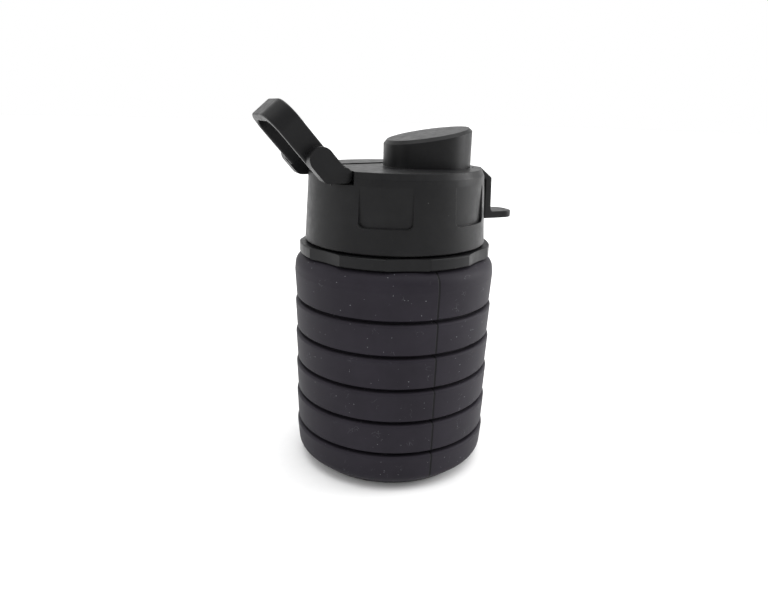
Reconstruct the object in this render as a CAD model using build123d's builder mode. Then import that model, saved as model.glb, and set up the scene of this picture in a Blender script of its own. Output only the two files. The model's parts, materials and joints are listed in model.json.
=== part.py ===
"""Collapsible drinking bottle: a silicone body that folds like a bellows, a hard
screw neck, and a screw lid with a hinged flip cap and a carry loop.

Frame: millimetres, +Z up, origin at the middle of the foot, on the table.
+X points to the thumb tab of the flip cap, the lid hinge is at -X and its pin
runs along Y.  Everything is drawn folded shut, with the flip cap closed.
"""
import os
from math import cos, sin, radians, pi
from build123d import *

os.makedirs("parts", exist_ok=True)

# ------------------------------------------------------------------ body
BODY_R = 35.0          # widest radius, at the top edge of every band
BAND_DRAFT = 0.5       # each band is this much smaller at its bottom edge
WALL_IN = 32.2         # inner radius of the bands
SLOT = 1.2             # open slot between two bands when folded
SLOT_Z = [14.0, 25.55, 37.1, 48.65, 60.2]   # middle of each slot
FOOT_R = 29.0          # radius of the flat foot
SHOULDER_Z = 76.0      # top of the silicone shoulder
FLOOR = 2.6            # thickness of the cup's floor
WAIST_RISE = 7.6       # how far a tucked waist stands above its band's lower edge
WAIST_OUT = 27.8       # outer radius of a waist ring
WAIST_IN = 26.4        # inner radius of a waist ring
SKIN = 0.8             # height of a membrane's section

# ------------------------------------------------------------------ neck
NECK_IN = 25.2
NECK_OUT = 27.4
NECK_TOP = 97.6
NECK_CREST = 27.95     # crest of the outside thread ribs
COLLAR_Z = 76.4        # underside of the clamping collar
COLLAR_TOP = 80.2
COLLAR_R = 33.2        # over the collar's lobes
COLLAR_LOBES = 7
COLLAR_TURN = -29.4    # degrees, where the first lobe sits

# ------------------------------------------------------------------ lid
LID_Z = 80.6
LID_R_LOW = 31.3       # the lid flares a little towards its lower edge
LID_R_TOP = 29.9
LID_CHAMFER_Z = 103.7
LID_TOP = 105.7
LID_BORE = 28.7
LID_CREST = 28.25      # crest of the inside thread ribs
LEDGE_Z = 99.4         # the ledge that the gasket sits against
DECK_UNDER = 100.9
DECK_TOP = 103.1       # floor of the recess that takes the flip cap
GRIP_AT = (0, 60, 120, 240, 300)   # degrees, the middles of the grip panels
GRIP_HALF = 16.0       # degrees, half the width of a grip panel
GRIP_ROUND = 2.0       # radius of a panel's two lower corners
GRIP_LOW, GRIP_HIGH = 89.0, 101.5
GRIP_DEPTH = 1.0       # depth of a grip panel at its lower edge

# ------------------------------------------------------------------ flip cap
PLATE_UNDER, PLATE_TOP = 103.4, 105.4
DOME_X = 11.5          # centre of the dome, over the spout
DOME_R = 15.2
DOME_MID_Z = 116.5     # height of the slanted top above the dome's centre
DOME_SLOPE = 10.0      # degrees, the top climbs towards +X
DOME_WALL = 1.8
HINGE_X, HINGE_Z = -24.8, 104.4
KNUCKLE_R = 2.7
KNUCKLE_HALF = 9.3     # half length of the cap's knuckle
TAB_HALF = 5.5         # half width of the thumb tab
PIN_R = 1.1
PIN_HALF = 14.8
RUN = 0.08             # radial running clearance on the pin

# ------------------------------------------------------------------ loop
LOOP_LEAN = 130.9      # degrees from +X, the way the loop stands
LOOP_SHIFT = -2.2      # the strap's middle plane lies this far behind the pin
LOOP_HALF_W = 3.8      # half the width of the strap
LOOP_OUT = 12.5        # outer half width of the U
STRAP = 2.2            # thickness of the strap's arms
CROSS = 2.8            # thickness of its cross part
LOOP_LEN = 28.0
EAR_IN, EAR_OUT = 12.5, 17.0
EAR_FRONT, EAR_BACK, EAR_END = 1.5, -6.2, 12.1   # the ear's sides and far end, from the pin
EAR_TOE = 2.4          # radius of the ear round the pin
HEEL_Z = 102.0         # flat heel of the ears
NOTCH_Z = 101.7        # floor of the notches the heels stand over
NOTCH_X = -22.0        # the notches' inner wall, beside the ears
NOTCH_X_OUT = -22.9    # the same wall where it comes out at the lid's side
LUG_IN, LUG_OUT = 9.6, 12.2


def save(part, label):
    """Names a finished piece and writes it to its own file."""
    part.label = label
    export_step(part, f"parts/{label}.step")


def half_plane(angle):
    """The upright plane through the Z axis at this angle from +X."""
    a = radians(angle)
    return Plane(origin=(0, 0, 0), x_dir=(cos(a), sin(a), 0), z_dir=(sin(a), -cos(a), 0))


def ring_of(points, rounding=None):
    """A turned ring: the closed outline (radius, height) spun round the Z axis."""
    with BuildPart() as ring:
        with BuildSketch(Plane.XZ) as outline:
            with BuildLine():
                Polyline(*points, close=True)
            make_face()
            if rounding:
                for (x, z), r in rounding:
                    corner = outline.vertices().sort_by_distance((x, z, 0))[0]
                    fillet(corner, r)
        revolve(axis=Axis.Z)
    return ring.part


# ======================================================= silicone bands
# Each band is a short, slightly conical hoop: widest at its top edge, both
# outer edges softened, and stepped back a little inside at the bottom.
def band(z0, z1):
    low = BODY_R - BAND_DRAFT
    return ring_of(
        [(WALL_IN, z0), (low, z0), (BODY_R, z1), (WALL_IN, z1)],
        [((low, z0), 0.6), ((BODY_R, z1), 1.0), ((WALL_IN, z0), 0.4), ((WALL_IN, z1), 0.4)],
    )


BAND_Z = []
for i in range(4):
    z_low, z_high = SLOT_Z[i] + SLOT / 2, SLOT_Z[i + 1] - SLOT / 2
    BAND_Z.append((z_low, z_high))
    save(band(z_low, z_high), f"band_{i + 1}")

# The base cup: the lowest band and the bottom in one, with a generous round
# down to a flat foot with one shallow ring groove in it.
CUP_TOP = SLOT_Z[0] - SLOT / 2
with BuildPart() as base_cup:
    with BuildSketch(Plane.XZ) as cup_outline:
        with BuildLine():
            Polyline(
                (0, 0), (19.4, 0), (20.2, 0.9), (21.8, 0.9), (22.6, 0), (FOOT_R, 0), (34.3, 4.6),
                (34.6, 8.0), (BODY_R, CUP_TOP), (WALL_IN, CUP_TOP), (WALL_IN, 11.4), (WALL_IN - 0.4, 6.0),
                (28.5, FLOOR + 0.4), (0, FLOOR + 0.4), close=True,
            )
        make_face()
        fillet(cup_outline.vertices().sort_by_distance((34.3, 4.6, 0))[0], 3.4)
        fillet(cup_outline.vertices().sort_by_distance((FOOT_R, 0, 0))[0], 3.0)
        fillet(cup_outline.vertices().sort_by_distance((BODY_R, CUP_TOP, 0))[0], 1.0)
        fillet(cup_outline.vertices().sort_by_distance((28.5, FLOOR + 0.4, 0))[0], 2.0)
    revolve(axis=Axis.Z)
save(base_cup.part, "base_cup")

# The shoulder band: the tallest band, closed over at the top by a rounded
# shoulder that turns in to the neck.
SH0 = SLOT_Z[4] + SLOT / 2
SHOULDER = ring_of(
    [(WALL_IN, SH0), (BODY_R - BAND_DRAFT, SH0), (BODY_R, SHOULDER_Z - 6.0), (BODY_R - 0.5, SHOULDER_Z),
     (NECK_OUT + 0.1, SHOULDER_Z), (NECK_OUT + 0.1, 73.8), (WALL_IN, 73.8)],
    [((BODY_R - BAND_DRAFT, SH0), 0.6), ((BODY_R - 0.5, SHOULDER_Z), 4.2), ((WALL_IN, 73.8), 0.5)],
)
save(SHOULDER, "shoulder_band")

# ======================================================= folds
# Each fold is a thin waist ring, tucked up inside the band above it, and two
# thin conical membranes: one from the band above, one from the band below.
LOWER_EDGE = [SLOT_Z[i] - SLOT / 2 for i in range(5)]   # top edge of the band below
UPPER_EDGE = [SLOT_Z[i] + SLOT / 2 for i in range(5)]   # bottom edge of the band above
for i in range(5):
    waist_z = UPPER_EDGE[i] + WAIST_RISE
    waist = ring_of(
        [(WAIST_IN, waist_z - 1.1), (WAIST_OUT, waist_z - 1.2), (WAIST_OUT, waist_z + 1.2),
         (WAIST_IN, waist_z + 1.1)],
        [((WAIST_IN, waist_z - 1.1), 0.5), ((WAIST_IN, waist_z + 1.1), 0.5)],
    )
    save(waist, f"waist_{i + 1}")
    hang = ring_of([
        (WALL_IN, UPPER_EDGE[i] + 0.5), (WALL_IN, UPPER_EDGE[i] + 0.5 + SKIN),
        (WAIST_OUT + 0.02, waist_z + 0.2 + SKIN), (WAIST_OUT + 0.02, waist_z + 0.2),
    ])
    save(hang, f"fold_skin_upper_{i + 1}")
    stand = ring_of([
        (WALL_IN, LOWER_EDGE[i] - 0.5 - SKIN),
        (WALL_IN, LOWER_EDGE[i] - 0.5),
        (WAIST_OUT + 0.02, waist_z - 0.2), (WAIST_OUT + 0.02, waist_z - 0.2 - SKIN),
    ])
    save(stand, f"fold_skin_lower_{i + 1}")

# ======================================================= hard neck
# A stiff tube with a flange under the silicone shoulder.  Level rib segments
# stand for the screw thread.
with BuildPart() as neck_insert:
    with BuildSketch(Plane.XZ):
        with BuildLine():
            Polyline(
                (NECK_IN, 71.6), (31.4, 71.6), (31.4, 73.8), (NECK_OUT, 73.8),
                (NECK_OUT, NECK_TOP), (NECK_IN, NECK_TOP), close=True,
            )
        make_face()
    revolve(axis=Axis.Z)
    for turn, z in enumerate([84.4, 88.6, 92.8]):
        for start in (0, 120, 240):
            with BuildSketch(half_plane(start + 40 * turn)):
                with BuildLine():
                    Polyline((NECK_OUT - 0.3, z - 0.9), (NECK_CREST, z - 0.3),
                             (NECK_CREST, z + 0.3), (NECK_OUT - 0.3, z + 0.9), close=True)
                make_face()
            revolve(axis=Axis.Z, revolution_arc=84)
save(neck_insert.part, "neck_insert")

# The clamping collar: a ring pressed on the neck that pinches the silicone.
# Its rim has raised lobes with shallow scooped grips between them.
with BuildPart() as neck_collar:
    with BuildSketch(Plane.XY.offset(COLLAR_Z)):
        Circle(COLLAR_R)
    extrude(amount=COLLAR_TOP - COLLAR_Z)
    chamfer(neck_collar.edges().filter_by(GeomType.CIRCLE), 0.35)
    pitch = 360 / COLLAR_LOBES
    valley = radians(pitch - 18.6)              # the scooped angle between lobes
    chord = 2 * COLLAR_R * sin(valley / 2)
    sag = 0.8                                  # how far the scoop bows past its chord
    scoop_r = (chord * chord / 4 + sag * sag) / (2 * sag)
    rise = COLLAR_R * cos(valley / 2)
    with BuildSketch(Plane.XY.offset(COLLAR_Z - 1)):
        with PolarLocations(rise + scoop_r + 0.05, COLLAR_LOBES, start_angle=COLLAR_TURN + pitch / 2):
            Circle(scoop_r)
    extrude(amount=COLLAR_TOP - COLLAR_Z + 2, mode=Mode.SUBTRACT)
    with BuildSketch(Plane.XY.offset(SHOULDER_Z)):
        Circle(29.6)
    extrude(amount=COLLAR_Z - SHOULDER_Z + 0.5)
    with BuildSketch(Plane.XY.offset(SHOULDER_Z - 1)):
        Circle(NECK_OUT)
    extrude(amount=COLLAR_TOP - SHOULDER_Z + 2, mode=Mode.SUBTRACT)
save(neck_collar.part, "neck_collar")

# ======================================================= lid
# Lid shell: a flared cup, open below, with a thick deck.  The deck has a
# recess for the flip cap, a pocket for its knuckle, two lugs for the hinge
# pin, open notches for the ears of the carry loop and a gap for the tab.
PLATE_HALF_AT_HINGE = 8.4
PLATE_DISC_R = 16.0


def plate_corners(grow):
    """The four corners that draw the cap's disc in to its hinge."""
    back, half = DOME_X - 4.4, (PLATE_DISC_R ** 2 - 4.4 ** 2) ** 0.5 + grow
    root = PLATE_HALF_AT_HINGE + grow
    return [(HINGE_X, -root), (back, -half), (back, half), (HINGE_X, root)]


# grip panels: a wedge of wall is planed away, deepest at its lower edge, with
# the two lower corners rounded.  This is the piece of wall that comes away.
slope = (LID_R_LOW - LID_R_TOP) / (LID_CHAMFER_Z - LID_Z)


def wall_r(z):
    """Radius of the lid's side at this height."""
    return LID_R_LOW - slope * (z - LID_Z)


with BuildPart() as grip_cut:
    with BuildSketch(half_plane(-GRIP_HALF)):
        with BuildLine():
            Polyline(
                (wall_r(GRIP_LOW) - GRIP_DEPTH, GRIP_LOW), (wall_r(GRIP_LOW) + 2, GRIP_LOW),
                (wall_r(GRIP_HIGH) + 2, GRIP_HIGH), (wall_r(GRIP_HIGH), GRIP_HIGH), close=True,
            )
        make_face()
    revolve(axis=Axis.Z, revolution_arc=2 * GRIP_HALF)
    chord_half = (wall_r(GRIP_LOW) + 0.4) * sin(radians(GRIP_HALF))
    with BuildSketch(Plane.YZ.offset(20)):
        with Locations((0, GRIP_LOW + 15)):
            RectangleRounded(2 * chord_half, 30, GRIP_ROUND)
    extrude(amount=20, mode=Mode.INTERSECT)

with BuildPart() as lid_shell:
    with BuildSketch(Plane.XZ):
        with BuildLine():
            Polyline(
                (0, DECK_UNDER), (21.4, DECK_UNDER), (21.4, LEDGE_Z), (LID_BORE, LEDGE_Z),
                (LID_BORE, LID_Z), (LID_R_LOW, LID_Z), (LID_R_TOP, LID_CHAMFER_Z),
                (LID_R_TOP - 1.0, LID_TOP), (0, LID_TOP), close=True,
            )
        make_face()
    revolve(axis=Axis.Z)
    chamfer(lid_shell.edges().filter_by(GeomType.CIRCLE).group_by(Axis.Z)[0].sort_by(SortBy.RADIUS)[-1], 0.4)
    # the grip panels
    for angle in GRIP_AT:
        add(grip_cut.part.rotate(Axis.Z, angle), mode=Mode.SUBTRACT)
    # recess for the flip cap
    with BuildSketch(Plane.XY.offset(DECK_TOP)):
        with Locations((DOME_X, 0)):
            Circle(PLATE_DISC_R + 0.35)
        with BuildLine():
            Polyline(*plate_corners(0.35), close=True)
        make_face()
    extrude(amount=LID_TOP - DECK_TOP + 1, mode=Mode.SUBTRACT)
    # pocket for the knuckle
    with BuildSketch(Plane.XY.offset(HINGE_Z - KNUCKLE_R - 0.4)):
        with Locations((HINGE_X, 0)):
            Rectangle(2 * KNUCKLE_R + 1.0, 2 * 9.6)
    extrude(amount=10, mode=Mode.SUBTRACT)
    # gap in the rim for the thumb tab
    with BuildSketch(Plane.XY.offset(DECK_TOP)):
        with Locations((30, 0)):
            Rectangle(10, 2 * TAB_HALF + 1.0)
    extrude(amount=10, mode=Mode.SUBTRACT)
    # notches for the ears of the loop
    with BuildSketch(Plane.XY.offset(NOTCH_Z)):
        for side in (-1, 1):
            with BuildLine():
                Polyline(
                    (NOTCH_X - 14, side * LUG_OUT), (NOTCH_X, side * LUG_OUT), (NOTCH_X, side * 17.4),
                    (NOTCH_X_OUT, side * 19.6), (NOTCH_X_OUT, side * 24), (NOTCH_X - 14, side * 24), close=True,
                )
            make_face()
    extrude(amount=10, mode=Mode.SUBTRACT)
    # hinge lugs
    for side in (-1, 1):
        with BuildSketch(Plane.XZ.offset(-side * LUG_OUT if side > 0 else LUG_IN)):
            with Locations((HINGE_X, HINGE_Z)):
                Circle(2.9)
            with Locations((HINGE_X, (HINGE_Z + DECK_UNDER) / 2)):
                Rectangle(5.8, HINGE_Z - DECK_UNDER)
        extrude(amount=LUG_OUT - LUG_IN)
    # bore for the pin
    with BuildSketch(Plane.XZ.offset(-20)):
        with Locations((HINGE_X, HINGE_Z)):
            Circle(PIN_R)
    extrude(amount=40, mode=Mode.SUBTRACT)
    # bore for the spout
    with BuildSketch(Plane.XY.offset(DECK_UNDER - 1)):
        with Locations((DOME_X, 0)):
            Circle(8.2)
    extrude(amount=8, mode=Mode.SUBTRACT)
    # inside thread ribs
    for turn, z in enumerate([86.5, 90.7, 94.9]):
        for start in (20, 140, 260):
            with BuildSketch(half_plane(start + 40 * turn)):
                with BuildLine():
                    Polyline((LID_BORE + 0.3, z - 0.9), (LID_CREST, z - 0.3),
                             (LID_CREST, z + 0.3), (LID_BORE + 0.3, z + 0.9), close=True)
                make_face()
            revolve(axis=Axis.Z, revolution_arc=84)
save(lid_shell.part, "lid_shell")

# Gasket: a flat silicone ring under the ledge of the lid.
save(ring_of([(23.9, NECK_TOP + 0.2), (28.5, NECK_TOP + 0.2), (28.5, LEDGE_Z), (23.9, LEDGE_Z)],
             [((23.9, NECK_TOP + 0.2), 0.5), ((28.5, NECK_TOP + 0.2), 0.5)]), "lid_gasket")

# Drinking spout: a short tube pushed through the deck, with a flange on it.
SPOUT_TOP = 108.8
with BuildPart() as drinking_spout:
    with BuildSketch(Plane.XY.offset(DECK_UNDER)):
        with Locations((DOME_X, 0)):
            Circle(8.2)
    extrude(amount=SPOUT_TOP - DECK_UNDER)
    with BuildSketch(Plane.XY.offset(DECK_TOP)):
        with Locations((DOME_X, 0)):
            Circle(10.2)
    extrude(amount=1.2)
    with BuildSketch(Plane.XY.offset(DECK_UNDER - 1)):
        with Locations((DOME_X, 0)):
            Circle(6.4)
    extrude(amount=12, mode=Mode.SUBTRACT)
    fillet(drinking_spout.edges().filter_by(GeomType.CIRCLE).group_by(Axis.Z)[-1], 0.7)
save(drinking_spout.part, "drinking_spout")

# Hinge pin: one straight pin for the flip cap and the carry loop.
with BuildPart() as hinge_pin:
    with BuildSketch(Plane.XZ.offset(-PIN_HALF)):
        with Locations((HINGE_X, HINGE_Z)):
            Circle(PIN_R)
    extrude(amount=2 * PIN_HALF)
    chamfer(hinge_pin.edges().filter_by(GeomType.CIRCLE), 0.25)
save(hinge_pin.part, "hinge_pin")

# ======================================================= flip cap
# One moulding: knuckle, plate, hollow dome with a slanted top, and the thumb
# tab that reaches over the rim and down the side of the lid.
slant = Plane(origin=(DOME_X, 0, DOME_MID_Z), z_dir=(-sin(radians(DOME_SLOPE)), 0, cos(radians(DOME_SLOPE))))
slant_in = slant.offset(-DOME_WALL)
with BuildPart() as dome_hollow:
    with BuildSketch(Plane.XY.offset(PLATE_UNDER - 1)):
        with Locations((DOME_X, 0)):
            Circle(DOME_R - DOME_WALL)
    extrude(amount=24)
    split(bisect_by=slant_in, keep=Keep.BOTTOM)
with BuildPart() as flip_cap:
    with BuildSketch(Plane.XY.offset(PLATE_UNDER)):
        with Locations((DOME_X, 0)):
            Circle(PLATE_DISC_R)
        with BuildLine():
            Polyline(*plate_corners(0), close=True)
        make_face()
    extrude(amount=PLATE_TOP - PLATE_UNDER)
    # dome: a tall plug, cut off on the slant, then bevelled
    with BuildSketch(Plane.XY.offset(PLATE_UNDER)):
        with Locations((DOME_X, 0)):
            Circle(DOME_R)
    extrude(amount=24)
    split(bisect_by=slant, keep=Keep.BOTTOM)
    top_edge = flip_cap.edges().filter_by(GeomType.ELLIPSE)
    chamfer(top_edge, 1.1)
    # hollow
    add(dome_hollow.part, mode=Mode.SUBTRACT)
    # knuckle
    with BuildSketch(Plane.XZ.offset(-KNUCKLE_HALF)):
        with Locations((HINGE_X, HINGE_Z)):
            Circle(KNUCKLE_R)
    extrude(amount=2 * KNUCKLE_HALF)
    # thumb tab
    with BuildSketch(Plane.XZ.offset(-TAB_HALF)) as tab_outline:
        with BuildLine():
            Polyline(
                (25.5, PLATE_TOP), (30.4, PLATE_TOP), (35.3, 101.6), (35.8, 89.4), (46.2, 89.4),
                (46.2, 86.9), (33.0, 86.9), (32.7, 100.8), (30.4, PLATE_UNDER), (25.5, PLATE_UNDER),
                close=True,
            )
        make_face()
        fillet(tab_outline.vertices().sort_by_distance((35.8, 89.4, 0))[0], 1.6)
        fillet(tab_outline.vertices().sort_by_distance((35.3, 101.6, 0))[0], 0.8)
    extrude(amount=2 * TAB_HALF)
    lip_end = flip_cap.edges().filter_by(Axis.Z).group_by(Axis.X)[-1]
    fillet(lip_end, 4.2)
    tab_edges = flip_cap.faces().filter_by(Axis.Y).edges().filter_by_position(Axis.X, 31.5, 50)
    fillet(tab_edges, 0.5)
    # bore for the pin
    with BuildSketch(Plane.XZ.offset(-20)):
        with Locations((HINGE_X, HINGE_Z)):
            Circle(PIN_R + RUN)
    extrude(amount=40, mode=Mode.SUBTRACT)
save(flip_cap.part, "flip_cap")

# Spout seal: a soft plug on a stem under the roof of the dome.
with BuildPart() as spout_seal:
    with BuildSketch(Plane.XY.offset(SPOUT_TOP + 0.3)):
        with Locations((DOME_X, 0)):
            Circle(8.6)
    extrude(amount=12)
    split(bisect_by=slant_in, keep=Keep.BOTTOM)
    with BuildSketch(Plane.XY.offset(SPOUT_TOP - 2.0)):
        with Locations((DOME_X, 0)):
            Circle(5.9)
    extrude(amount=2.4)
save(spout_seal.part, "spout_seal")

# ======================================================= carry loop
# A flat strap bent to a U.  Each arm ends in a thick oval ear on its outer
# side, with a flat heel that stands over the floor of its notch in the lid.
lean_x = Vector(cos(radians(LOOP_LEAN)), 0, sin(radians(LOOP_LEAN)))
behind = Vector(sin(radians(LOOP_LEAN)), 0, -cos(radians(LOOP_LEAN)))   # towards the flip cap
pivot = Vector(HINGE_X, 0, HINGE_Z)
strap_plane = Plane(origin=pivot + behind * (LOOP_SHIFT - LOOP_HALF_W), x_dir=lean_x, z_dir=behind)


def ear_point(along, across):
    """A point of the ear's outline, from the pin: along the lean, and towards the cap."""
    p = pivot + lean_x * along + behind * across
    return (p.X, p.Z)


def heel_point(across):
    """Where a line along the lean, this far towards the cap, meets the flat heel."""
    along = (HEEL_Z - pivot.Z - behind.Z * across) / lean_x.Z
    return ear_point(along, across)


with BuildPart() as carry_loop:
    with BuildSketch(strap_plane):
        with Locations((LOOP_LEN - 30, 0)):
            RectangleRounded(60, 2 * LOOP_OUT, 7.0)
            RectangleRounded(60 - 2 * CROSS, 2 * (LOOP_OUT - STRAP), 7.0 - STRAP, mode=Mode.SUBTRACT)
        with Locations((6.5 - 30, 0)):
            Rectangle(60, 60, mode=Mode.SUBTRACT)
    extrude(amount=2 * LOOP_HALF_W)
    fillet(carry_loop.faces().filter_by(Plane(origin=(0, 0, 0), z_dir=behind)).edges(), 0.6)
    for near in (EAR_IN, -EAR_OUT):
        with BuildSketch(Plane.XZ.offset(near)) as ear:
            with BuildLine():
                Polyline(heel_point(EAR_BACK), heel_point(EAR_FRONT), ear_point(EAR_END, EAR_FRONT),
                         ear_point(EAR_END, EAR_BACK), close=True)
            make_face()
            fillet(ear.vertices().sort_by_distance((*heel_point(EAR_BACK), 0))[0], 2.5)
            fillet(ear.vertices().sort_by_distance((*heel_point(EAR_FRONT), 0))[0], 1.5)
            fillet(ear.vertices().sort_by_distance((*ear_point(EAR_END, EAR_FRONT), 0))[0], 3.8)
            fillet(ear.vertices().sort_by_distance((*ear_point(EAR_END, EAR_BACK), 0))[0], 3.8)
            with Locations((HINGE_X, HINGE_Z)):
                Circle(EAR_TOE)
        extrude(amount=EAR_OUT - EAR_IN)
    # blind bores for the ends of the pin
    with BuildSketch(Plane.XZ.offset(-PIN_HALF - 0.3)):
        with Locations((HINGE_X, HINGE_Z)):
            Circle(PIN_R + RUN)
    extrude(amount=2 * PIN_HALF + 0.6, mode=Mode.SUBTRACT)
save(carry_loop.part, "carry_loop")
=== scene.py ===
# %% [markdown]
# # A folding water bottle
# The bottle is a silicone bellows with a hard neck, a screw lid, a flip cap over a drinking
# spout, and a loop to carry it by.  The engineering model fixes every size and every joint.
# Here the pieces get the surfaces and the soft folds that a hand and an eye know them by.  Everything is in metres, with the foot's middle at the origin.

# %% The frame
import json
import math

import bmesh
import bpy
from mathutils import Matrix, Vector


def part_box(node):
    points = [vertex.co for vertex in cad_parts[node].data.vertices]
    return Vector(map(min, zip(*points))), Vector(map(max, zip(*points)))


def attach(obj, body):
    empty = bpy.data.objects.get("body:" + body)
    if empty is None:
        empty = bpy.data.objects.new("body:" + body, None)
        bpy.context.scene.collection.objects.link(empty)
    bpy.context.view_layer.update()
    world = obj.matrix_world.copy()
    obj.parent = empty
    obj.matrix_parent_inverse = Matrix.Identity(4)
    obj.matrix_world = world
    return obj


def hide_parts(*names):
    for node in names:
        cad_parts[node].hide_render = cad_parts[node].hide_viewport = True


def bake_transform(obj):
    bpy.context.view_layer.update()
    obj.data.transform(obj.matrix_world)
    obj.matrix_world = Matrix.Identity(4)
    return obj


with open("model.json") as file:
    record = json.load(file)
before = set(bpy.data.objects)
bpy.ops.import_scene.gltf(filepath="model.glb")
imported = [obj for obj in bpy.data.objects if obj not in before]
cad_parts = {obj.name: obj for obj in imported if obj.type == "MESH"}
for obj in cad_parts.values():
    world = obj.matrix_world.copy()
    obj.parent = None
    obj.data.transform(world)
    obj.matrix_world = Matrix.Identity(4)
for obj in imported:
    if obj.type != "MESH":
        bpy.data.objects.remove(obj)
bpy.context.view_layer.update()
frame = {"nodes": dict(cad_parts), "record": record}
MM = 0.001
scene = bpy.context.scene

# %% [markdown]
# Colours are picked as hex values, as on a screen, but a shader adds light in linear values.
# One function turns the one into the other, so that every colour below is the one meant.


# %% Screen colour to linear colour
def linear(hex_colour):
    """The linear red, green, blue and alpha of a hex colour such as #2b2b2d."""
    shares = [int(hex_colour[i:i + 2], 16) / 255 for i in (1, 3, 5)]
    return [c / 12.92 if c <= 0.04045 else ((c + 0.055) / 1.055) ** 2.4 for c in shares] + [1.0]


print("mid grey #808080 is", round(linear("#808080")[0], 3), "in linear light")

# %% [markdown]
# A material is a small tree of nodes.  Adding one by hand takes a line for the node, one for
# each number and one for each link.  One small function does all three, so each recipe below
# reads like a list of ingredients.


# %% Adding a node
def add(material, kind, settings=None, links=None):
    """Adds a node of this kind, with its settings and with links into its inputs."""
    made = material.node_tree.nodes.new(kind)
    for name, value in (settings or {}).items():
        if name in made.inputs:
            made.inputs[name].default_value = value
        elif name.isdigit():
            made.inputs[int(name)].default_value = value
        else:
            setattr(made, name, value)
    for name, source in (links or {}).items():
        socket = made.inputs[int(name)] if name.isdigit() else made.inputs[name]
        material.node_tree.links.new(source, socket)
    return made


def blank(name):
    """A new material with its nodes cleared away."""
    made = bpy.data.materials.new(name)
    made.use_nodes = True
    made.node_tree.nodes.clear()
    return made


print("the node helpers are ready")
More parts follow.
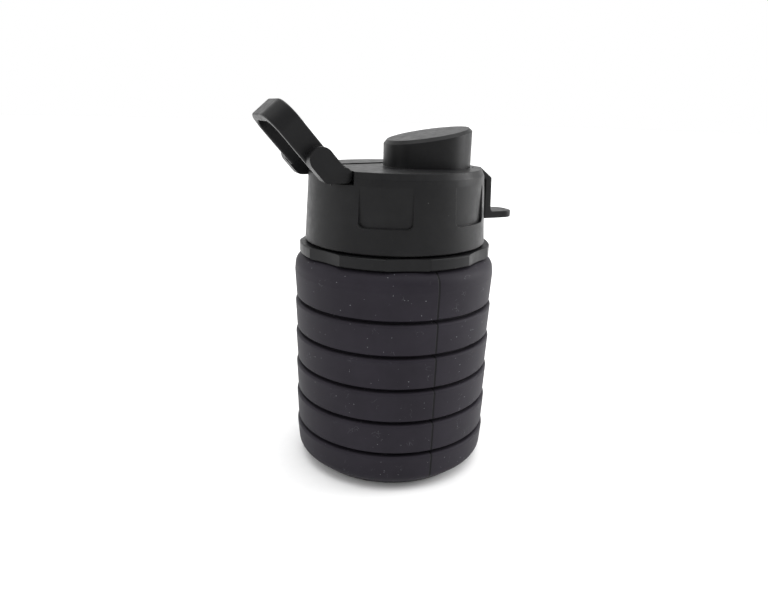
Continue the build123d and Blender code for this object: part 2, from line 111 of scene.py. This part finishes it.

# %% [markdown]
# ## Moulded silicone
# The bellows is pressed from black silicone in a steel mould of two halves.  The mould is
# sand blasted, so the rubber comes out matte, with a grain of about a fifth of a millimetre.
# Silicone picks up dust by its own charge: pale specks, a few short fibres and a faint haze.
# Where the halves met, a hair-thin groove runs up the front and up the back, with its shade painted into the colour
# as a darker line.


# %% Silicone material
def silicone(name, base, haze, grain_mm=0.35):
    """Matte moulded silicone, with dust, lint and the mould's parting line, a groove with painted shade."""
    m = blank(name)
    at = add(m, "ShaderNodeTexCoord").outputs["Object"]
    cloud = add(m, "ShaderNodeTexNoise", {"Scale": 1 / (14 * MM), "Detail": 4.0, "Roughness": 0.6}, {"Vector": at})
    mix = add(m, "ShaderNodeMapRange", {"From Min": 0.35, "From Max": 0.7}, {"Value": cloud.outputs["Fac"]})
    tone = add(m, "ShaderNodeMix", {"data_type": "RGBA", "6": linear(base), "7": linear(haze)},
               {"0": mix.outputs["Result"]})
    # dust: one speck in each cell of 1.1 mm, most of them switched off by the cell's own colour
    cells = add(m, "ShaderNodeTexVoronoi", {"Scale": 1 / (1.1 * MM)}, {"Vector": at})
    keep = add(m, "ShaderNodeSeparateColor", {}, {"Color": cells.outputs["Color"]})
    size = add(m, "ShaderNodeMath", {"operation": "MULTIPLY_ADD", "1": 0.5, "2": -0.36},
               {"0": keep.outputs["Red"]})
    speck = add(m, "ShaderNodeMath", {"operation": "LESS_THAN"},
                {"0": cells.outputs["Distance"], "1": size.outputs[0]})
    # lint: thin level lines of a wavy field, shown only in scattered patches
    wavy = add(m, "ShaderNodeTexNoise", {"Scale": 1 / (2.6 * MM), "Detail": 1.0}, {"Vector": at})
    off = add(m, "ShaderNodeMath", {"operation": "SUBTRACT", "1": 0.5}, {"0": wavy.outputs["Fac"]})
    away = add(m, "ShaderNodeMath", {"operation": "ABSOLUTE"}, {"0": off.outputs[0]})
    line = add(m, "ShaderNodeMath", {"operation": "LESS_THAN", "1": 0.0035}, {"0": away.outputs[0]})
    patch = add(m, "ShaderNodeTexNoise", {"Scale": 1 / (5 * MM), "Detail": 0.0}, {"Vector": at})
    some = add(m, "ShaderNodeMath", {"operation": "GREATER_THAN", "1": 0.69}, {"0": patch.outputs["Fac"]})
    both = add(m, "ShaderNodeMath", {"operation": "MULTIPLY"}, {"0": line.outputs[0], "1": some.outputs[0]})
    lint = add(m, "ShaderNodeMath", {"operation": "MULTIPLY", "1": 0.45}, {"0": both.outputs[0]})
    dust = add(m, "ShaderNodeMath", {"operation": "MAXIMUM"}, {"0": speck.outputs[0], "1": lint.outputs[0]})
    part = add(m, "ShaderNodeMath", {"operation": "MULTIPLY", "1": 0.33}, {"0": dust.outputs[0]})
    dusty = add(m, "ShaderNodeMix", {"data_type": "RGBA", "7": linear("#b9bcc0")},
                {"0": part.outputs[0], "6": tone.outputs[2]})
    # parting line: within a fifth of a millimetre of the plane that splits the mould; its groove's shade is painted
    # into the colour
    spot = add(m, "ShaderNodeSeparateXYZ", {}, {"Vector": at})
    side = add(m, "ShaderNodeMath", {"operation": "ABSOLUTE"}, {"0": spot.outputs["X"]})
    seam = add(m, "ShaderNodeMapRange", {"interpolation_type": "SMOOTHSTEP", "From Min": 0.2 * MM,
                                         "From Max": 0.42 * MM, "To Min": 1.0, "To Max": 0.0},
               {"Value": side.outputs[0]})
    # painted shade: the colour turns near-black along the seam, standing in for the shade inside its groove
    seam_painted_shade = add(m, "ShaderNodeMix", {"data_type": "RGBA", "7": linear("#0b0b0d")},
               {"0": seam.outputs["Result"], "6": dusty.outputs[2]})
    # relief: the mould's blasted grain and the seam's groove
    grain = add(m, "ShaderNodeTexNoise", {"Scale": 1 / (grain_mm * MM), "Detail": 2.0}, {"Vector": at})
    bumps = add(m, "ShaderNodeBump", {"Strength": 0.35, "Distance": 0.03 * MM}, {"Height": grain.outputs["Fac"]})
    drop = add(m, "ShaderNodeMath", {"operation": "MULTIPLY", "1": -1.0}, {"0": seam.outputs["Result"]})
    groove = add(m, "ShaderNodeBump", {"Strength": 0.8, "Distance": 0.12 * MM},
                 {"Height": drop.outputs[0], "Normal": bumps.outputs["Normal"]})
    rough = add(m, "ShaderNodeMapRange", {"To Min": 0.5, "To Max": 0.66}, {"Value": cloud.outputs["Fac"]})
    shader = add(m, "ShaderNodeBsdfPrincipled", {"IOR": 1.41, "Specular IOR Level": 0.18, "Sheen Weight": 0.02,
                                                      "Sheen Roughness": 0.45},
                 {"Base Color": seam_painted_shade.outputs[2], "Roughness": rough.outputs["Result"],
                  "Normal": groove.outputs["Normal"]})
    add(m, "ShaderNodeOutputMaterial", {}, {"Surface": shader.outputs["BSDF"]})
    return m


SILICONE = silicone("moulded_silicone", "#1d1a21", "#242128")
print("made", SILICONE.name)

# %% [markdown]
# ## Satin polypropylene
# Lid, cap, loop and neck are injection moulded in black polypropylene.  It is a little glossier
# than the rubber and a neutral grey black, with a fine satin grain, faint clouds where the
# melt flowed, and light rubs from handling.


# %% Polypropylene material
def polypropylene(name, base, worn, rough_low, rough_high, round_mm=0.3):
    """Satin moulded polypropylene, with flow clouds, fine grain, specks and rubs."""
    m = blank(name)
    at = add(m, "ShaderNodeTexCoord").outputs["Object"]
    flow = add(m, "ShaderNodeTexNoise", {"Scale": 1 / (11 * MM), "Detail": 5.0, "Roughness": 0.65}, {"Vector": at})
    cloud = add(m, "ShaderNodeMapRange", {"From Min": 0.4, "From Max": 0.72}, {"Value": flow.outputs["Fac"]})
    tone = add(m, "ShaderNodeMix", {"data_type": "RGBA", "6": linear(base), "7": linear(worn)},
               {"0": cloud.outputs["Result"]})
    cells = add(m, "ShaderNodeTexVoronoi", {"Scale": 1 / (2.3 * MM)}, {"Vector": at})
    keep = add(m, "ShaderNodeSeparateColor", {}, {"Color": cells.outputs["Color"]})
    size = add(m, "ShaderNodeMath", {"operation": "MULTIPLY_ADD", "1": 0.5, "2": -0.41},
               {"0": keep.outputs["Green"]})
    speck = add(m, "ShaderNodeMath", {"operation": "LESS_THAN"},
                {"0": cells.outputs["Distance"], "1": size.outputs[0]})
    part = add(m, "ShaderNodeMath", {"operation": "MULTIPLY", "1": 0.3}, {"0": speck.outputs[0]})
    dusty = add(m, "ShaderNodeMix", {"data_type": "RGBA", "7": linear("#b4b4b2")},
                {"0": part.outputs[0], "6": tone.outputs[2]})
    rubs = add(m, "ShaderNodeTexNoise", {"Scale": 1 / (3 * MM), "Detail": 6.0, "Roughness": 0.7}, {"Vector": at})
    rough = add(m, "ShaderNodeMapRange",
                {"From Min": 0.3, "From Max": 0.7, "To Min": rough_low, "To Max": rough_high},
                {"Value": rubs.outputs["Fac"]})
    grain = add(m, "ShaderNodeTexNoise", {"Scale": 1 / (0.22 * MM), "Detail": 2.0}, {"Vector": at})
    # edges: the shading turns softly over each edge, while the mesh keeps the edge it has
    edge = add(m, "ShaderNodeBevel", {"samples": 6, "Radius": round_mm * MM})
    skin = add(m, "ShaderNodeBump", {"Strength": 0.25, "Distance": 0.02 * MM},
               {"Height": grain.outputs["Fac"], "Normal": edge.outputs["Normal"]})
    wave = add(m, "ShaderNodeBump", {"Strength": 0.15, "Distance": 0.08 * MM},
               {"Height": flow.outputs["Fac"], "Normal": skin.outputs["Normal"]})
    # a low specular level keeps black pieces dark beside a bright floor
    shader = add(m, "ShaderNodeBsdfPrincipled", {"IOR": 1.49, "Specular IOR Level": 0.16},
                 {"Base Color": dusty.outputs[2], "Roughness": rough.outputs["Result"],
                  "Normal": wave.outputs["Normal"]})
    add(m, "ShaderNodeOutputMaterial", {}, {"Surface": shader.outputs["BSDF"]})
    return m


PLASTIC = polypropylene("satin_polypropylene", "#111112", "#171718", 0.3, 0.46)
NECK_PLASTIC = polypropylene("neck_polypropylene", "#171718", "#1d1d1e", 0.3, 0.42)
print("made", PLASTIC.name, "and", NECK_PLASTIC.name)

# %% [markdown]
# ## Seals and pin
# The gasket and the spout's plug are a softer grey silicone.  The pin is drawn steel wire, so
# its grain runs along it.


# %% Seal and steel materials
SEAL = silicone("seal_silicone", "#8b8e90", "#9a9d9f", 0.5)

STEEL = blank("drawn_steel")
wire = add(STEEL, "ShaderNodeMapping", {"Scale": (1 / (0.05 * MM), 1 / (6 * MM), 1 / (0.05 * MM))},
           {"Vector": add(STEEL, "ShaderNodeTexCoord").outputs["Object"]})
drawn = add(STEEL, "ShaderNodeTexNoise", {"Scale": 1.0, "Detail": 3.0}, {"Vector": wire.outputs["Vector"]})
dull = add(STEEL, "ShaderNodeMapRange", {"To Min": 0.22, "To Max": 0.42}, {"Value": drawn.outputs["Fac"]})
score = add(STEEL, "ShaderNodeBump", {"Strength": 0.3, "Distance": 0.01 * MM}, {"Height": drawn.outputs["Fac"]})
tint = add(STEEL, "ShaderNodeMix", {"data_type": "RGBA", "6": linear("#bdbdbb"), "7": linear("#cfcfcd")},
           {"0": drawn.outputs["Fac"]})
metal = add(STEEL, "ShaderNodeBsdfPrincipled", {"Metallic": 1.0},
            {"Base Color": tint.outputs[2], "Roughness": dull.outputs["Result"], "Normal": score.outputs["Normal"]})
add(STEEL, "ShaderNodeOutputMaterial", {}, {"Surface": metal.outputs["BSDF"]})
print("made", SEAL.name, "and", STEEL.name)

# %% Finishes for the engineering model's own pieces
FINISH = {"body_silicone": SILICONE, "hard_plastic": PLASTIC, "seal_silicone": SEAL, "pin_steel": STEEL}
for part in frame["record"]["subparts"]:
    cad = frame["nodes"][part["node"]]
    cad.data.materials.clear()
    cad.data.materials.append(FINISH[part["material_slot"]])
frame["nodes"]["neck_insert"].data.materials[0] = NECK_PLASTIC
print("finished", len(frame["nodes"]), "pieces of the model")

# %% [markdown]
# ## From a bmesh to a piece
# A bmesh is a mesh being worked on.  When it is done it becomes a mesh, gets an object and a
# material, and joins the scene.  Its faces are turned outwards and shaded smooth, but for the
# creases sharper than an angle.


# %% Making a piece
def piece(work, name, material, crease=38):
    """Turns a finished bmesh into an object at the origin, smooth but for its creases."""
    bmesh.ops.recalc_face_normals(work, faces=work.faces)
    mesh = bpy.data.meshes.new(name)
    work.to_mesh(mesh)
    work.free()
    mesh.shade_smooth()
    mesh.set_sharp_from_angle(angle=math.radians(crease))
    mesh.materials.append(material)
    made = bpy.data.objects.new(name, mesh)
    scene.collection.objects.link(made)
    return made


def lathe(outline, closed=True, steps=144):
    """A bmesh of an outline of (radius, height) points in mm, spun once round the bottle's axis."""
    work = bmesh.new()
    dots = [work.verts.new((r * MM, 0, z * MM)) for r, z in outline]
    rims = [work.edges.new(pair) for pair in zip(dots, dots[1:])]
    if closed:
        rims.append(work.edges.new((dots[-1], dots[0])))
    bmesh.ops.spin(work, geom=dots + rims, cent=(0, 0, 0), axis=(0, 0, 1), angle=math.tau, steps=steps,
                   use_merge=True)
    return work


def level(node):
    """Lowest and highest height of a CAD node, in mm."""
    bottom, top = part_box(node)
    return bottom.z / MM, top.z / MM


print("the base cup stands from", [round(v, 2) for v in level("base_cup")])

# %% [markdown]
# ## The bellows' folds
# Between two bands the wall of a folding bottle is a thin skin.  Folded, it climbs inside the
# band above to a narrow waist and comes down again to that band's lower edge.  Pulled open, the
# upper skin turns over and the pair makes an hourglass.  A stiff cone can't do that, so each
# skin is a curved sheet that is spun from a line and given its thickness by a modifier.

# %% Folds and waists
BAND_INNER, WAIST_OUTER, SKIN = 32.2, 27.8, 0.5
WAIST_INNER, WAIST_HALF = 26.4, 1.2


def fold_skin(name, node, band_z, waist_z):
    """A skin from a band's inner wall to a waist."""
    rise = waist_z - band_z
    line = [(BAND_INNER + 0.5, 0.0), (BAND_INNER - 0.15, 0.03), (31.2, 0.2), (30.1, 0.46), (29.0, 0.74),
            (28.2, 0.93), (WAIST_OUTER - 0.5, 1.0)]
    skin = piece(lathe([(r, band_z + rise * share) for r, share in line], closed=False), name, SILICONE, 180)
    wall = skin.modifiers.new("wall", "SOLIDIFY")
    wall.thickness, wall.offset = SKIN * MM, 0.0
    smooth = skin.modifiers.new("smooth", "SUBSURF")
    smooth.levels = smooth.render_levels = 1
    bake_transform(skin)
    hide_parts(node)


for i in range(1, 6):
    waist_low, waist_high = level(f"waist_{i}")
    middle = (waist_low + waist_high) / 2
    below = level("base_cup" if i == 1 else f"band_{i - 1}")[1]
    above = level("shoulder_band" if i == 5 else f"band_{i}")[0]
    fold_skin(f"fold_lower_{i}", f"fold_skin_lower_{i}", below - 0.9, middle - 0.6)
    fold_skin(f"fold_upper_{i}", f"fold_skin_upper_{i}", above + 0.9, middle + 0.6)
    ring = lathe([(WAIST_INNER, middle - WAIST_HALF), (WAIST_OUTER, middle - WAIST_HALF),
                  (WAIST_OUTER, middle + WAIST_HALF), (WAIST_INNER, middle + WAIST_HALF)])
    bmesh.ops.bevel(ring, geom=[e for e in ring.edges if abs(e.verts[0].co.z - e.verts[1].co.z) < 1e-7],
                    offset=0.55 * MM, segments=3, profile=0.5, affect="EDGES", material=-1)
    waist = piece(ring, f"waist_bead_{i}", SILICONE)
    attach(waist, f"fold_waist_{i}")
    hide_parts(f"waist_{i}")
print("made 10 skins and 5 waists")

# %% [markdown]
# ## The screw thread
# The engineering model uses level ribs where the real neck has a thread with three starts.
# A thread is a small section that climbs as it goes round, so the spin is given a step of height
# with each step of angle.

# %% Neck tube and thread
NECK_IN, NECK_OUT, THREAD_CREST = 25.2, 27.4, 27.95
neck_low, neck_top = level("neck_insert")
tube = lathe([(NECK_IN, neck_low), (31.4, neck_low), (31.4, 73.8), (NECK_OUT, 73.8), (NECK_OUT, neck_top),
              (NECK_IN, neck_top)])
bmesh.ops.bevel(tube, geom=[e for e in tube.edges if abs(e.verts[0].co.z - e.verts[1].co.z) < 1e-7
                            and e.verts[0].co.z > (neck_top - 0.1) * MM],
                offset=0.6 * MM, segments=3, profile=0.5, affect="EDGES", material=-1)
neck = piece(tube, "neck_tube", NECK_PLASTIC)
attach(neck, "shoulder")
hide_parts("neck_insert")

PITCH, STARTS, SWEEP = 12.0, 3, 200
for start in range(STARTS):
    thread = bmesh.new()
    foot = 84.0
    dots = [thread.verts.new((r * MM, 0, (foot + h) * MM)) for r, h in
            ((NECK_OUT - 0.3, -0.9), (THREAD_CREST, -0.3), (THREAD_CREST, 0.3), (NECK_OUT - 0.3, 0.9))]
    end = thread.faces.new(dots)
    bmesh.ops.rotate(thread, verts=thread.verts, cent=(0, 0, 0),
                     matrix=Matrix.Rotation(math.tau * start / STARTS, 3, "Z"))
    steps = 60
    bmesh.ops.spin(thread, geom=[end], cent=(0, 0, 0), axis=(0, 0, 1), angle=math.radians(SWEEP), steps=steps,
                   dvec=(0, 0, PITCH * MM * SWEEP / 360 / steps))
    turn_of_thread = piece(thread, f"neck_thread_{start + 1}", NECK_PLASTIC)
    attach(turn_of_thread, "shoulder")
print("made a neck with", STARTS, "starts of thread")

# %% [markdown]
# ## Light, floor and camera
# The bottle stands on a pale sheet under a broad soft light, with a weaker one on each side.
# The broad one has a wide angle and no distance, so the sheet is as bright far away as it is near.
# The room is a plain white, only a little dimmer towards the viewer.
# The camera stands a little above the lid and looks down on it.

# %% Floor
sheet = bmesh.new()
bmesh.ops.create_circle(sheet, cap_ends=True, segments=96, radius=6.0)
floor_mesh = bpy.data.meshes.new("floor")
sheet.to_mesh(floor_mesh)
sheet.free()
floor = bpy.data.objects.new("floor", floor_mesh)
scene.collection.objects.link(floor)
paper = blank("pale_paper")
place = add(paper, "ShaderNodeTexCoord").outputs["Object"]
fibre = add(paper, "ShaderNodeTexNoise", {"Scale": 1 / (3 * MM), "Detail": 3.0}, {"Vector": place})
white = add(paper, "ShaderNodeMix", {"data_type": "RGBA", "6": linear("#f0f0f0"), "7": linear("#f4f4f4")},
            {"0": fibre.outputs["Fac"]})
matte = add(paper, "ShaderNodeBsdfDiffuse", {}, {"Color": white.outputs[2]})
add(paper, "ShaderNodeOutputMaterial", {}, {"Surface": matte.outputs["BSDF"]})
floor.data.materials.append(paper)


# %% Lights
def soft_light(name, place, aim, width, power):
    """A square area light at place, turned to aim, both in metres."""
    lamp = bpy.data.lights.new(name, "AREA")
    lamp.size, lamp.energy = width, power
    made = bpy.data.objects.new(name, lamp)
    made.location = place
    made.rotation_euler = (Vector(aim) - Vector(place)).to_track_quat("-Z", "Y").to_euler()
    scene.collection.objects.link(made)


OVER_SPREAD, OVER_POWER = 75, 2.1      # degrees across, and watts per square metre
over = bpy.data.lights.new("over_light", "SUN")
over.angle, over.energy = math.radians(OVER_SPREAD), OVER_POWER
above = bpy.data.objects.new("over_light", over)
above.rotation_euler = Vector((0.1, 0.05, 1.0)).to_track_quat("Z", "Y").to_euler()
scene.collection.objects.link(above)
soft_light("right_light", (0.75, -0.2, 0.3), (0, 0, 0.07), 0.4, 4.0)
soft_light("left_light", (-0.75, 0.2, 0.35), (0, 0, 0.07), 0.4, 1.0)

sky = bpy.data.worlds.new("studio")
sky.use_nodes = True
sky.node_tree.nodes.clear()
aim = add(sky, "ShaderNodeTexCoord").outputs["Generated"]
ahead = add(sky, "ShaderNodeVectorMath", {"operation": "DOT_PRODUCT", "1": (0.37, 0.83, 0.42)}, {"0": aim})
glow = add(sky, "ShaderNodeMapRange", {"From Min": -0.6, "From Max": 0.75, "To Min": 0.75, "To Max": 1.0},
           {"Value": ahead.outputs["Value"]})
room = add(sky, "ShaderNodeBackground", {"Color": linear("#ffffff")}, {"Strength": glow.outputs["Result"]})
add(sky, "ShaderNodeOutputWorld", {}, {"Surface": room.outputs["Background"]})
scene.world = sky
scene.view_settings.view_transform = "Standard"
print("three soft lights in a plain white room")

# %% Camera
lens_over_width = 630.4 / 768          # focal length over the picture's width
eye = bpy.data.cameras.new("eye")
eye.sensor_width = 36.0
eye.lens = 36.0 * lens_over_width
eye.shift_x, eye.shift_y = -0.0047, 0.0031
camera = bpy.data.objects.new("eye", eye)
turned = (Matrix.Rotation(math.radians(-24), 4, "Z") @ Matrix.Rotation(math.radians(90 - 16.96), 4, "X")
          @ Matrix.Rotation(math.radians(1.467), 4, "Z"))
camera.matrix_world = Matrix.Translation((-0.0912, -0.2003, 0.1238)) @ turned
scene.collection.objects.link(camera)
scene.camera = camera
print("camera", round(eye.lens, 2), "mm lens,", round(camera.location.length / MM), "mm from the foot")
